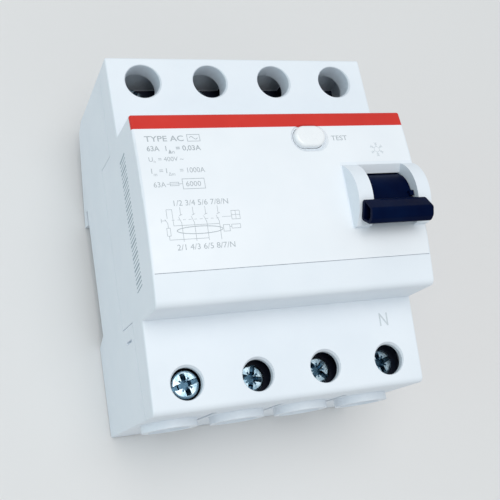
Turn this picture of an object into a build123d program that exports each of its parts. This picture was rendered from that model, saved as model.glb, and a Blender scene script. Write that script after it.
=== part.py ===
"""Four-pole residual current device for a 35 mm rail, four modules wide.

The device lies on its back. +Z points out of the printed front, +Y is up when it hangs on its rail, and
+X is to the right seen from the front. The origin is the centre of the face that rests on the rail.
All sizes are millimetres. One STEP file is written for each separate piece.
"""
import math
import os

from build123d import *

# ---------------------------------------------------------------- driving dimensions
MODULE = 17.5
POLES = 4
WIDTH = MODULE * POLES
HEIGHT = 88.0
NOSE = 45.0
RAIL = 35.0
SEAT_PAD = 26.0           # height of the raised face that touches the rail
SEAT_RELIEF = 0.1
FOOT = 5.5                # how far the feet reach behind the rail face
SHOULDER_Z = 41.0         # shoulder face beside the nose
SHOULDER_FALL = 1.5       # the shoulders fall back this much towards the ends
NOSE_Z = 53.5             # nose face at its upper and lower edges
NOSE_RISE = 1.9           # the nose face bulges this much
WALL = 1.7
UPPER_TAPER = 2.0         # the upper end leans in this much towards the rear
UPPER_WALL = 1.3
FLOOR_Z = 1.6             # inside face of the rear wall
EDGE_R = 0.5              # rounding of the side edges

HX = WIDTH / 2
HY = HEIGHT / 2
NY = NOSE / 2
POLE_X = [MODULE * (i - (POLES - 1) / 2) for i in range(POLES)]
PARTITION_X = [MODULE * (i - POLES / 2) for i in range(1, POLES)]

# the line where the rear base and the front cover meet
SPLIT_MID_Z = 22.0
SPLIT_END_Z = 32.0
SPLIT_Y = 21.0

# red band, printed front plate
BAND_H = 3.75
BAND_T = 0.8
PLATE_T = 0.5
PLATE_LOW_Y = -15.0
PLATE_GAP = 0.16          # joint below the plate

# toggle, its guards and its drive
TOGGLE_Y = -0.3
TOGGLE_Z = 50.2
TOGGLE_TRAVEL = 53.0      # degrees between OFF and ON
DRUM_R = 7.1
DRUM_X = (19.5, 31.3)
GUARD_R = 9.75
GUARD_LEFT_X = (14.9, 19.3)
GUARD_RIGHT_X = (31.5, HX)
GUARD_LOW_Y = -7.7
BAR_X = (16.0, 32.8)
PIN_R = 1.5
CRANK_R = 5.6             # radius of the hole for the link wire in the drum

# contact shaft
SHAFT_Y = 5.0
SHAFT_Z = 12.1
SHAFT_R = 3.2
JOURNAL_R = 2.6
SHAFT_TRAVEL = 20.0       # degrees between open and closed
SHAFT_CRANK_X = (26.6, 28.6)
ARM_REACH = 17.0
TIP_REACH = 15.0
LINK_X = 25.4
LINK_R = 1.0

# terminals: the numbers are for the lower ones, the upper ones lie UPPER_DROP deeper
TERMINAL_Y = 37.5
UPPER_DROP = -7.0
WELL_R_LOWER = 3.8
WELL_R_UPPER = 4.4
SLEEVE_Z = 34.3           # where the sleeve below an upper well ends
HEAD_R = 3.4
HEAD_T = 2.8
SHANK_R = 2.5
HEAD_Z = 32.15            # underside of a screw head
STRIP_Z = 23.0            # underside of a terminal strip
STRIP_T = 1.5
STRIP_HALF = 3.2
CAGE_Z = 13.6
CAGE_TRAVEL = 3.6
ENTRY_Z = 19.0            # axis of a cable entry
ENTRY_R = 3.4
COLLAR_R = 6.9
COLLAR_T = 1.9
COLLAR_DISH_R = 5.3
COLLAR_DISH = 0.8
RAISED_SCREW = 3.5        # the first lower screw stands this much further out
RAISED_CAGE = 2.6         # and its cage is drawn up this much

# test button
BUTTON_X = 8.4
BUTTON_Y = 15.9
BUTTON_L = 8.0
BUTTON_H = 5.4
BUTTON_TRAVEL = 1.5

# summation transformer
CORE_X = -10.0
CORE_Z = 14.6
WIRE_R = 1.6
WIRE_GRID = 2.5
SENSE_Y = (-13.95, -11.55)

# rail latches
LATCH_X = (-17.5, 17.5)
LATCH_HALF = 5.0
LATCH_Z = (-4.3, -2.0)

# housing screws, the lower pair near the sides and the upper pair between the poles
HOUSING_POSTS = ((-31.0, -24.9), (31.0, -24.9), (-17.5, 24.9), (17.5, 24.9))
POST_R = 2.4

# chassis plate with its posts (x, y, radius), trip lever and trip relay
CHASSIS_Z = 30.2
CHASSIS_T = 1.4
CHASSIS_POSTS = ((-31.3, -12.5, 1.6), (-31.3, 14.0, 1.4), (13.4, -12.5, 1.8), (14.5, 14.0, 1.8))
LEVER_Y = 3.0
LEVER_Z = 42.0
BALANCE_UP = 12.0         # lengths of the ribs that balance the lever
BALANCE_DOWN = 6.5
PLUNGER_X = -22.0
PLUNGER_Z = 38.0
RELAY = (-31.0, -13.0, -20.6, -5.0, CHASSIS_Z + CHASSIS_T, 45.2)


# ---------------------------------------------------------------- small helpers
def block(x0, x1, y0, y1, z0, z1):
    """Box between two corners."""
    return Pos((x0 + x1) / 2, (y0 + y1) / 2, (z0 + z1) / 2) * Box(x1 - x0, y1 - y0, z1 - z0)


def rod_x(r, x0, x1, y, z):
    """Cylinder along X."""
    return Pos((x0 + x1) / 2, y, z) * Rot(0, 90, 0) * Cylinder(r, x1 - x0)


def rod_y(r, x, y0, y1, z):
    """Cylinder along Y."""
    return Pos(x, (y0 + y1) / 2, z) * Rot(90, 0, 0) * Cylinder(r, y1 - y0)


def rod_z(r, x, y, z0, z1):
    """Cylinder along Z."""
    return Pos(x, y, (z0 + z1) / 2) * Cylinder(r, z1 - z0)


def prism_x(points, x0, x1):
    """Polygon in the YZ plane, extruded from x0 to x1."""
    face = make_face(Polyline(*points, close=True))
    return extrude(Plane.YZ.offset(x0) * face, x1 - x0)


def turned(shape, degrees, y, z):
    """Shape turned about the X-parallel line through (y, z)."""
    return Pos(0, y, z) * Rot(degrees, 0, 0) * Pos(0, -y, -z) * shape


def tube_along(points, r, bend):
    """Round wire along a line of points with rounded corners."""
    path = FilletPolyline(*points, radius=bend)
    section = Plane(origin=path @ 0, z_dir=path % 0) * Circle(r)
    return sweep(section, path)


def coil_z(x, y, z0, z1, radius, wire, turns):
    """Compression spring along Z."""
    path = Helix((z1 - z0 - 2 * wire) / turns, z1 - z0 - 2 * wire, radius)
    path = Pos(x, y, z0 + wire) * path
    section = Plane(origin=path @ 0, z_dir=path % 0) * Circle(wire)
    return sweep(section, path)


def stadium(length, height, x, y, z0, z1):
    """Block with round ends, lying along X."""
    face = SlotOverall(length, height)
    return extrude(Pos(x, y, z0) * face, z1 - z0)


def nose_z(y, lift=0.0):
    """Height of the bulged nose face."""
    half = NY
    radius = (half ** 2 + NOSE_RISE ** 2) / (2 * NOSE_RISE)
    return NOSE_Z + NOSE_RISE - radius + math.sqrt(radius ** 2 - y ** 2) + lift


# ---------------------------------------------------------------- housing shells
def outer_block():
    """Whole outside of the housing, before it is hollowed and split."""
    end_z = SHOULDER_Z - SHOULDER_FALL
    arc = ThreePointArc((NY, NOSE_Z), (0, NOSE_Z + NOSE_RISE), (-NY, NOSE_Z))
    rear = [
        (-NY, NOSE_Z), (-NY, SHOULDER_Z), (-HY, end_z), (-HY, -FOOT), (-RAIL / 2 - 2.3, -FOOT),
        (-RAIL / 2 - 0.1, SEAT_RELIEF), (RAIL / 2 + 0.2, SEAT_RELIEF), (RAIL / 2 + 0.2, -1.7),
        (RAIL / 2 - 3.6, -1.7), (RAIL / 2 - 3.3, -FOOT + 0.3), (HY - UPPER_TAPER - 1.8, 2.0),
        (HY - UPPER_TAPER, 5.5), (HY, end_z), (NY, SHOULDER_Z), (NY, NOSE_Z),
    ]
    face = make_face([arc] + [Line(a, b) for a, b in zip(rear, rear[1:])])
    for y, z, r in ((-NY, NOSE_Z, 1.8), (NY, NOSE_Z, 0.6), (-HY, end_z, 1.5), (HY, end_z, 0.7)):
        corner = face.vertices().sort_by_distance((y, z, 0))[0]
        face = fillet(corner, r)
    solid = extrude(Plane.YZ.offset(-HX) * face, WIDTH)
    rim = [e for e in solid.edges() if abs(e.center().X) > HX - 0.01 and e.center().Z > SEAT_RELIEF + 1]
    return fillet(rim, EDGE_R)


def inner_block():
    """Room inside the housing."""
    top = SHOULDER_Z - WALL
    end = SHOULDER_Z - SHOULDER_FALL - WALL
    y = NY - WALL
    crown = ThreePointArc((y, NOSE_Z - 1.8), (0, NOSE_Z + NOSE_RISE - 1.9), (-y, NOSE_Z - 1.8))
    pts = [
        (-y, NOSE_Z - 1.8), (-y, top), (-HY + WALL, end), (-HY + WALL, FLOOR_Z), (HY - 14, FLOOR_Z),
        (HY - 5.4, FLOOR_Z + 2), (HY - UPPER_TAPER - UPPER_WALL, 6.0), (HY - UPPER_WALL, end), (y, top),
        (y, NOSE_Z - 1.8),
    ]
    face = make_face([crown] + [Line(a, b) for a, b in zip(pts, pts[1:])])
    return extrude(Plane.YZ.offset(-HX + WALL) * face, WIDTH - 2 * WALL)


def cover_zone(shrink=0.0):
    """Everything in front of the stepped parting line."""
    mid = SPLIT_MID_Z + shrink
    end = SPLIT_END_Z + shrink
    s = SPLIT_Y - shrink
    pts = [(-60, end), (-s, end), (-s, mid), (s, mid), (s, end), (60, end), (60, 90), (-60, 90)]
    return prism_x(pts, -HX - 5, HX + 5)


def parting_groove():
    """Thin groove around the outside where cover and base meet."""
    depth = 0.3
    gap = 0.22
    band = cover_zone() - cover_zone(gap)
    core = block(-HX + depth, HX - depth, -HY + depth, HY - depth, -10, 90)
    return band - core


def terminal_drop(side):
    """The upper terminals lie deeper than the lower ones."""
    return UPPER_DROP if side > 0 else 0.0


def end_y(side, z):
    """Distance of an end face from the middle, at height z."""
    if side < 0:
        return HY
    return HY - UPPER_TAPER * (SHOULDER_Z - SHOULDER_FALL - z) / (SHOULDER_Z - SHOULDER_FALL - 5.5)


def rear_base():
    """Base with rail channel, terminal pockets, cable entries and posts."""
    body = outer_block() - inner_block() - cover_zone()
    inside = inner_block() - cover_zone()
    ribs = []
    for x in PARTITION_X:
        ribs.append(block(x - 1.2, x + 1.2, 26.5, 44, 0, SPLIT_END_Z))
        ribs.append(block(x - 1.2, x + 1.2, -44, -26.5, 0, SPLIT_END_Z))
        ribs.append(block(x - 0.7, x + 0.7, 10, 27, 0, 18))
    for side in (-1, 1):
        drop = terminal_drop(side)
        wall_y = sorted((side * 27.0, side * 28.4))
        ribs.append(block(-HX, HX, wall_y[0], wall_y[1], 0, SPLIT_END_Z))
        roof_y = sorted((side * 28.0, side * HY))
        roof_z = SPLIT_END_Z + drop
        ribs.append(block(-HX, HX, roof_y[0], roof_y[1], roof_z - 1.2, roof_z))
    for x, y in HOUSING_POSTS:
        ribs.append(rod_z(POST_R, x, y, 0, SPLIT_END_Z))
    for x, y, r in CHASSIS_POSTS:
        ribs.append(rod_z(r, x, y, 0, CHASSIS_Z))
    for sx in (-1, 1):
        ribs.append(block(sx * 32.4 - 1.1, sx * 32.4 + 1.1, SHAFT_Y - 4.6, SHAFT_Y + 4.6, 0, SHAFT_Z + 4.6))
    web = ribs[0]
    for rib in ribs[1:]:
        web = web + rib
    # the posts for the chassis stand in the open above the split, so only the rest is trimmed
    body = body + (web & (inside + tall_posts()))
    for side in (-1, 1):
        drop = terminal_drop(side)
        for x in POLE_X:
            z = ENTRY_Z + drop + 1.5
            collar = rod_y(COLLAR_R, x, *sorted((side * (HY - 4.2), side * (end_y(side, z) + COLLAR_T))), z)
            body = body + (collar - inner_block())
    for side in (-1, 1):
        drop = terminal_drop(side)
        for x in POLE_X:
            y0, y1 = sorted((side * (HY - 6), side * (HY + 5)))
            body = body - rod_y(ENTRY_R, x, y0, y1, ENTRY_Z + drop)
            face = end_y(side, ENTRY_Z + drop + 1.5) + COLLAR_T
            d0, d1 = sorted((side * (face - COLLAR_DISH), side * (face + 1)))
            body = body - rod_y(COLLAR_DISH_R, x, d0, d1, ENTRY_Z + drop + 0.6)
            body = body - rod_z(SHANK_R + 0.25, x, side * TERMINAL_Y, 20, SPLIT_END_Z + 1)
            z0 = STRIP_Z + drop - 0.05
            y0, y1 = sorted((side * 26.5, side * 29))
            body = body - block(x - 3.3, x + 3.3, y0, y1, z0, z0 + STRIP_T + 0.1)
    for x in PARTITION_X:
        for y in (-HY, HY):
            body = body - block(x - 0.7, x + 0.7, y - 2, y + 2, 13, 30)
    body = body - rod_x(JOURNAL_R + 0.05, -HX + WALL, HX - WALL, SHAFT_Y, SHAFT_Z)
    for x, y in HOUSING_POSTS:
        body = body - rod_z(1.55, x, y, -8, SPLIT_END_Z + 1) - rod_z(2.9, x, y, -8, screw_seat(y))
    body = body - latch_ways() - rear_pockets() - side_windows()
    return body + seat_pad() + latch_pegs()


def screw_seat(y):
    """Height of the seat for a housing screw's head."""
    return 0.4 if y > 0 else -FOOT + 2.2


def tall_posts():
    """Room in which the chassis posts rise above the low middle of the base."""
    room = block(-1, 1, -1, 1, 0, 1)
    for x, y, r in CHASSIS_POSTS:
        room = room + rod_z(r, x, y, 1.6, CHASSIS_Z)
    return room


def seat_pad():
    """Raised face that touches the rail."""
    return block(-HX + 1, HX - 1, -SEAT_PAD / 2, SEAT_PAD / 2, 0, 1.0)


def latch_ways():
    """Ways through the lower foot for the two rail latches, with a window for each spring."""
    cut = None
    for x in LATCH_X:
        half = LATCH_HALF + 0.1
        way = block(x - half, x + half, -HY - 2, -RAIL / 2 + 3, LATCH_Z[0] - 0.1, LATCH_Z[1] + 0.1)
        window = block(x - 3.2, x + 3.2, -34.5, -24, -FOOT - 1, LATCH_Z[0])
        cut = way + window if cut is None else cut + way + window
    return cut


def latch_pegs():
    """Fixed stop for each latch spring."""
    pegs = None
    for x in LATCH_X:
        peg = block(x - 1.5, x + 1.5, -36.6, -35, -FOOT + 0.4, LATCH_Z[1] + 0.2)
        pegs = peg if pegs is None else pegs + peg
    return pegs


def rear_pockets():
    """Shallow pockets that lighten the foot, seen from behind."""
    cut = None
    for x0, x1 in ((-11.6, -4.6), (-3.5, 3.5), (4.6, 11.6)):
        for y0, y1 in ((-42.4, -33), (-31.8, -22.6)):
            pocket = block(x0, x1, y0, y1, -FOOT - 1, -FOOT + 4)
            cut = pocket if cut is None else cut + pocket
    return cut


def side_windows():
    """Snap-fit slots on both sides near the lower end."""
    cut = None
    for sx in (-1, 1):
        slot = block(sx * HX - 0.8, sx * HX + 0.8, -24.95, -24.25, 24.5, 29.5)
        cut = slot if cut is None else cut + slot
    return cut


def guard(x0, x1, slope):
    """Half-moon toggle guard; its outer flank leans in by slope."""
    disc = rod_x(GUARD_R, x0, x1, TOGGLE_Y, TOGGLE_Z)
    disc = disc & block(x0 - 1, x1 + 1, GUARD_LOW_Y, 20, NOSE_Z - 1, 70)
    if slope > 0:
        lean = [(x0, NOSE_Z - 2), (x0 + slope, 62), (x0 - 3, 62), (x0 - 3, NOSE_Z - 2)]
        face = make_face(Polyline(*lean, close=True))
        disc = disc - extrude(Plane.XZ.offset(-20) * face, 40)
    return disc


def window_cut():
    """Opening in the cover between the guards, with a slanting upper edge."""
    slot = rod_x(DRUM_R + 0.35, GUARD_LEFT_X[1], GUARD_RIGHT_X[0], TOGGLE_Y, TOGGLE_Z)
    points = [(6.3, 52.0), (6.3, 53.6), (8.3, 55.3), (8.3, 65), (-6.9, 65), (-6.9, 52.0)]
    return slot + prism_x(points, GUARD_LEFT_X[1], GUARD_RIGHT_X[0])


def front_skin(depth, y0, y1, x_half):
    """Layer of the bulged nose face, depth thick, between two heights on the face."""
    arc_out = ThreePointArc((NY, NOSE_Z), (0, NOSE_Z + NOSE_RISE), (-NY, NOSE_Z))
    pts = [(-NY, NOSE_Z), (-NY, NOSE_Z - depth)]
    arc_in = ThreePointArc((-NY, NOSE_Z - depth), (0, NOSE_Z + NOSE_RISE - depth), (NY, NOSE_Z - depth))
    end = [(NY, NOSE_Z - depth), (NY, NOSE_Z)]
    face = make_face([arc_out, Line(*pts), arc_in, Line(*end)])
    layer = extrude(Plane.YZ.offset(-x_half) * face, 2 * x_half)
    return layer & block(-x_half, x_half, y0, y1, 40, 70)


def plate_outline_cut():
    """What the front plate leaves free: toggle guards, button recess and the button's own way."""
    guards = block(GUARD_LEFT_X[0] - 0.15, HX + 1, GUARD_LOW_Y - 0.15, 8.9, 40, 70)
    return guards + button_dish() + button_way(0.6)


def button_way(gap):
    """Straight oval hole through which the button moves."""
    return stadium(BUTTON_L + gap, BUTTON_H + gap, BUTTON_X, BUTTON_Y, 40, 70)


def button_dish():
    """Oval dish with sloping sides around the test button."""
    floor = Pos(BUTTON_X, BUTTON_Y, nose_z(BUTTON_Y) - 0.8) * SlotOverall(BUTTON_L + 0.6, BUTTON_H + 0.6)
    return extrude(floor, 2.4, taper=-38)


def label_plate():
    """Printed white plate on the nose."""
    top = NY - BAND_H - 0.1
    return front_skin(PLATE_T, PLATE_LOW_Y, top, HX - 0.5) - plate_outline_cut()


def red_band():
    """Coloured strip along the nose's upper edge."""
    strip = outer_block() & front_skin(BAND_T, NY - BAND_H, NY + 1, HX + 1)
    return strip - button_dish() - button_way(0.6)


def front_cover():
    """Cover with nose, shoulders, screwdriver wells and toggle guards."""
    body = (outer_block() - inner_block()) & cover_zone()
    body = body + guard(*GUARD_LEFT_X, 0.7) + guard(*GUARD_RIGHT_X, 0)
    for x0, x1 in ((16.4, GUARD_LEFT_X[1]), (GUARD_RIGHT_X[0], 33.6)):
        body = body + block(x0, x1, TOGGLE_Y - 3.6, TOGGLE_Y + 3.6, TOGGLE_Z - 3.4, NOSE_Z)
    for x in POLE_X:
        well = rod_z(WELL_R_UPPER + 1.1, x, TERMINAL_Y, SLEEVE_Z, SHOULDER_Z - SHOULDER_FALL - 0.5)
        body = body + (well & inner_block())
    for x in PARTITION_X:
        for side in (-1, 1):
            y0, y1 = sorted((side * 29, side * HY))
            body = body + (block(x - 0.7, x + 0.7, y0, y1, SPLIT_END_Z, 45) & inner_block())
    for x, y in HOUSING_POSTS:
        body = body + (rod_z(POST_R, x, y, SPLIT_END_Z, 45) & inner_block())
    shelf = block(BUTTON_X - 3.4, BUTTON_X + 3.4, BUTTON_Y - 3.2, NY - 1, 44.2, 45.4)
    body = body + shelf
    body = body - window_cut()
    for side, r in ((-1, WELL_R_LOWER), (1, WELL_R_UPPER)):
        for x in POLE_X:
            y = side * TERMINAL_Y
            body = body - rod_z(r, x, y, 20, 60)
            body = body - Pos(x, y, well_top()) * Cone(r, r + 0.6, 1.0)
    body = body - rod_x(PIN_R + 0.02, 17.2, 33.8 - 0.4, TOGGLE_Y, TOGGLE_Z)
    body = body - front_skin(PLATE_T, PLATE_LOW_Y - PLATE_GAP, NY - BAND_H - 0.1, HX - 0.5)
    body = body + front_skin_under_guards()
    body = body - front_skin(BAND_T, NY - BAND_H, NY + 1, HX + 1) - parting_groove()
    body = body - button_dish() - stadium(BUTTON_L + 1.6, BUTTON_H + 1.6, BUTTON_X, BUTTON_Y, 45.4, 51.9)
    body = body - stadium(BUTTON_L + 0.2, BUTTON_H + 0.2, BUTTON_X, BUTTON_Y, 45.4, 70)
    body = body - rod_z(1.3, BUTTON_X, BUTTON_Y, 40, 50)
    for x, y in HOUSING_POSTS:
        body = body - rod_z(1.55, x, y, SPLIT_END_Z - 1, 38)
    return body


def well_top():
    """Height of the shoulder face at the screw wells."""
    return SHOULDER_Z - SHOULDER_FALL * (TERMINAL_Y - NY) / (HY - NY)


def front_skin_under_guards():
    """Cover face that stays flush beside the toggle guards."""
    skin = front_skin(PLATE_T, GUARD_LOW_Y - 0.15, 8.9, HX - 0.5)
    keep = block(GUARD_LEFT_X[0] - 0.15, HX - 0.5, GUARD_LOW_Y - 0.15, 8.9, 40, 70)
    return (skin & keep) - window_cut()


# ---------------------------------------------------------------- toggle and contact drive
def toggle_point(radius, degrees):
    """Point at a radius from the toggle axis, the angle measured from +Z towards -Y."""
    a = math.radians(degrees)
    return (TOGGLE_Y - radius * math.sin(a), TOGGLE_Z + radius * math.cos(a))


def crank_point():
    """Rest place of the link's upper leg in the drum."""
    return toggle_point(-CRANK_R, TOGGLE_TRAVEL / 2)


def shaft_crank_point():
    """Rest place of the link's lower leg in the contact shaft's crank."""
    span = CRANK_R * math.sin(math.radians(TOGGLE_TRAVEL / 2))
    reach = span / math.sin(math.radians(SHAFT_TRAVEL / 2))
    a = math.radians(SHAFT_TRAVEL / 2)
    return (SHAFT_Y + reach * math.sin(a), SHAFT_Z + reach * math.cos(a))


def toggle():
    """Black toggle: drum, neck and cross bar, in its OFF position."""
    drum = rod_x(DRUM_R, *DRUM_X, TOGGLE_Y, TOGGLE_Z)
    bar = prism_x([toggle_point(10.5, 9), toggle_point(10.1, 39), toggle_point(14.1, 37.5),
                   toggle_point(14.8, 31), toggle_point(14.6, 22)], *BAR_X)
    bar = fillet(bar.edges().filter_by(Axis.X), 0.9)
    bar = fillet(bar.edges().group_by(Axis.X)[-1], 0.7)
    neck = prism_x([toggle_point(5, 2), toggle_point(11.6, 13), toggle_point(12, 35), toggle_point(5, 48)],
                   DRUM_X[0] + 0.4, DRUM_X[1] - 0.4)
    hollow = prism_x([toggle_point(11.25, 15), toggle_point(10.95, 35.5), toggle_point(13.3, 35),
                      toggle_point(13.9, 30.5), toggle_point(13.8, 22.5)], BAR_X[0] - 1, BAR_X[0] + 3.2)
    spur = block(30.2, DRUM_X[1], TOGGLE_Y - 0.6, TOGGLE_Y + 0.6, TOGGLE_Z + 6, TOGGLE_Z + DRUM_R + 1.1)
    spur = turned(spur, 2, TOGGLE_Y, TOGGLE_Z)
    ridge = turned(block(DRUM_X[0] + 0.4, DRUM_X[1] - 0.4, TOGGLE_Y - 0.6, TOGGLE_Y + 0.6, TOGGLE_Z + 6,
                         TOGGLE_Z + DRUM_R + 0.45), 7, TOGGLE_Y, TOGGLE_Z)
    body = drum + neck + bar - hollow + spur + ridge
    body = body - rod_x(PIN_R + 0.05, 15, 35, TOGGLE_Y, TOGGLE_Z)
    body = body - rod_x(3.7, 28.4, 32, TOGGLE_Y, TOGGLE_Z)
    y, z = crank_point()
    body = body - rod_x(LINK_R + 0.06, 21.2, LINK_X, y, z)
    slot_z = TOGGLE_Z - CRANK_R + 1.5
    slot = block(LINK_X - 1.35, LINK_X + 1.35, TOGGLE_Y - 9, TOGGLE_Y + 9, TOGGLE_Z - 12, slot_z)
    return body - turned(slot, TOGGLE_TRAVEL / 2, TOGGLE_Y, TOGGLE_Z)


def toggle_pin():
    return rod_x(PIN_R, 17.3, 33.3, TOGGLE_Y, TOGGLE_Z)


def toggle_spring():
    """Torsion spring in the drum's right end."""
    coil = coil_z(0, 0, 0, 2.4, 2.6, 0.28, 3.0)
    return Pos(28.7, TOGGLE_Y, TOGGLE_Z) * Rot(0, 90, 0) * coil


def link_wire():
    """Bent wire from the drum to the crank of the contact shaft."""
    y0, z0 = crank_point()
    y1, z1 = shaft_crank_point()
    points = [(21.5, y0, z0), (LINK_X, y0, z0), (LINK_X, y1, z1), (29.6, y1, z1)]
    return tube_along(points, LINK_R, 1.3)


def contact_shaft():
    """Insulating shaft that carries the four moving contacts, with its crank."""
    shaft = rod_x(SHAFT_R, -31.0, 31.0, SHAFT_Y, SHAFT_Z)
    shaft = shaft + rod_x(JOURNAL_R, -33.1, 33.1, SHAFT_Y, SHAFT_Z)
    y, z = shaft_crank_point()
    lean = SHAFT_TRAVEL / 2
    reach = math.hypot(y - SHAFT_Y, z - SHAFT_Z)
    crank = block(*SHAFT_CRANK_X, SHAFT_Y - 2.2, SHAFT_Y + 2.2, SHAFT_Z, SHAFT_Z + reach + 2.6)
    crank = turned(crank, -lean, SHAFT_Y, SHAFT_Z)
    half = LINK_R + 0.28
    slot = rod_x(half, 24, 31, y, z + 0.1) + rod_x(half, 24, 31, y, z - 1.2)
    slot = slot + block(24, 31, y - half, y + half, z - 1.2, z + 0.1)
    body = shaft + crank - slot
    for x in POLE_X:
        sleeve = rod_x(SHAFT_R + 1.1, x - 4.2, x + 4.2, SHAFT_Y, SHAFT_Z)
        body = body + sleeve
    for x in POLE_X:
        body = body - moving_arm_room(x)
    return body


def arm_blank(x, grow):
    """Contact arm in its closed place, lying along +Y; grow widens it for the slot in the shaft."""
    y0 = SHAFT_Y + 0.6 - grow
    arm = block(x - 3 - grow, x + 3 + grow, y0, SHAFT_Y + ARM_REACH, SHAFT_Z - 1 - grow, SHAFT_Z + 1 + grow)
    return arm


def moving_arm_room(x):
    return turned(arm_blank(x, 0.0), -SHAFT_TRAVEL, SHAFT_Y, SHAFT_Z)


def moving_contact(x):
    """Copper arm with a contact tip near its end, in its open place."""
    tip = rod_z(1.8, x, SHAFT_Y + TIP_REACH, SHAFT_Z + 1, SHAFT_Z + 2.4)
    arm = arm_blank(x, 0.0)
    corners = arm.edges().filter_by(Axis.Z).group_by(Axis.Y)[-1]
    arm = fillet(corners, 1.6) + tip
    return turned(arm, -SHAFT_TRAVEL, SHAFT_Y, SHAFT_Z)


def upper_strip(x):
    """Upper terminal strip with the fixed contact tip under its inner end."""
    z = STRIP_Z + UPPER_DROP
    strip = block(x - STRIP_HALF, x + STRIP_HALF, SHAFT_Y + TIP_REACH - 2.6, 40.6, z, z + STRIP_T)
    tip = rod_z(1.8, x, SHAFT_Y + TIP_REACH, SHAFT_Z + 2.5, z)
    return strip + tip


def lower_strip(x):
    """Lower terminal strip, narrower where the pole's conductor is welded on."""
    strip = block(x - STRIP_HALF, x + STRIP_HALF, -41.8, -27.6, STRIP_Z, STRIP_Z + STRIP_T)
    return strip + block(x - 2.2, x + 2.2, -28, -24.5, STRIP_Z, STRIP_Z + STRIP_T)


def arc_chutes():
    """A stack of steel plates between two cheeks beyond each contact tip."""
    stacks = []
    for x in POLE_X:
        stack = block(x - 5, x - 4.2, 22.8, 26.8, FLOOR_Z, 13.2)
        stack = stack + block(x + 4.2, x + 5, 22.8, 26.8, FLOOR_Z, 13.2)
        for i in range(4):
            z = 3.0 + 2.6 * i
            stack = stack + block(x - 4.4, x + 4.4, 23.0, 26.6, z, z + 0.8)
        stacks.append(stack)
    return Compound(children=stacks)


# ---------------------------------------------------------------- terminals
def screw(x, side, lift):
    """Terminal screw with a combined cross and slot."""
    z = HEAD_Z + terminal_drop(side) + lift
    y = side * TERMINAL_Y
    head = rod_z(HEAD_R, x, y, z, z + HEAD_T)
    head = fillet(head.edges().filter_by(GeomType.CIRCLE).sort_by(Axis.Z)[-1], 0.7)
    tip = STRIP_Z + STRIP_T + 0.2 + terminal_drop(side) + lift
    body = head + rod_z(SHANK_R, x, y, tip, z)
    top = z + HEAD_T
    cross = Pos(x, y, top) * (Box(5.4, 1.25, 4.0) + Box(1.25, 5.4, 4.0))
    cross = cross & (Pos(x, y, top - 0.9) * Cone(1.2, 2.75, 2.0))
    star = Pos(x, y, top) * Rot(0, 0, 45) * (Box(3.6, 0.5, 1.6) + Box(0.5, 3.6, 1.6))
    slot = Pos(x, y, top) * Box(2 * HEAD_R + 1, 1.05, 2.2) + star
    return body - Pos(x, y, 0) * Rot(0, 0, screw_angle(x, side)) * Pos(-x, -y, 0) * (cross + slot)


def screw_angle(x, side):
    """Each screw stands at its own angle."""
    return (37 + 61 * POLE_X.index(x) + 23 * side) % 180


def cage(x, side, lift):
    """Lift cage that clamps the cable against the strip."""
    drop = terminal_drop(side) + lift
    y = side * TERMINAL_Y
    z = CAGE_Z + drop
    top = STRIP_Z + STRIP_T + 0.5 + drop
    body = block(x - 4.75, x + 4.75, y - 3.1, y + 3.1, z, top + 2.0)
    body = fillet(body.edges().filter_by(Axis.Y), 0.8)
    body = body - block(x - 3.55, x + 3.55, y - 6, y + 6, z + 1.4, top)
    return body - rod_z(SHANK_R + 0.06, x, y, top - 1, top + 3)


# ---------------------------------------------------------------- transformer and conductors
def transformer_case():
    """Tray for the core, open on its upper face, with a terminal block."""
    ring = rod_y(12.4, CORE_X, -17.5, -8, CORE_Z) - rod_y(7.3, CORE_X, -18, -7, CORE_Z)
    room = rod_y(11.6, CORE_X, -16.6, -7, CORE_Z) - rod_y(8.1, CORE_X, -16.6, -7, CORE_Z)
    return ring - room + block(CORE_X - 3, CORE_X + 3, -15.5, -10, CORE_Z + 11.8, CORE_Z + 13.4)


def transformer_core():
    return rod_y(10.7, CORE_X, -15.3, -10.1, CORE_Z) - rod_y(9.0, CORE_X, -16, -9, CORE_Z)


def sensing_winding():
    """Winding around the whole core."""
    body = rod_y(11.4, CORE_X, -16.4, -9.0, CORE_Z) - rod_y(8.3, CORE_X, -17, -8, CORE_Z)
    return body - rod_y(10.7, CORE_X, -15.3, -10.1, CORE_Z) + rod_y(9.0, CORE_X, -15.3, -10.1, CORE_Z) \
        - rod_y(8.3, CORE_X, -17, -8, CORE_Z)


def conductor(i):
    """Pole conductor from a moving contact's pivot through the core to the lower strip."""
    x = POLE_X[i]
    inner_x = CORE_X - WIRE_GRID if i < 2 else CORE_X + WIRE_GRID
    low = SHAFT_Z
    high = SHAFT_Z + 2 * WIRE_GRID
    up = STRIP_Z + STRIP_T / 2
    start = (x, SHAFT_Y - SHAFT_R - 1.4, low)
    near = -1.5
    far = -20.5
    ends = [(x, far, up), (x, -24.5, up)]
    if i in (0, 3):
        points = [start, (x, -5, low), (inner_x, -5, low), (inner_x, far, low), (x, far, low)] + ends
    elif i == 1:
        points = [start, (x, near, low), (inner_x, near, low), (inner_x, near, high), (inner_x, far, high),
                  (inner_x, far, up)] + ends
    else:
        points = [start, (x, near, low), (x, near, high), (inner_x, near, high), (inner_x, far, high),
                  (x, far, high)] + ends
    return tube_along(points, WIRE_R, 1.75)


def sense_leads():
    """Two leads from the transformer to the trip relay."""
    wires = []
    x, z = CORE_X, CORE_Z + 13.4
    for y in SENSE_Y:
        points = [(x, y, z), (x, y, z + 1.3), (x - 9, y, z + 1.3), (x - 9, y, CHASSIS_Z + CHASSIS_T)]
        wires.append(tube_along(points, 0.45, 0.8))
    return Compound(children=wires)


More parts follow.
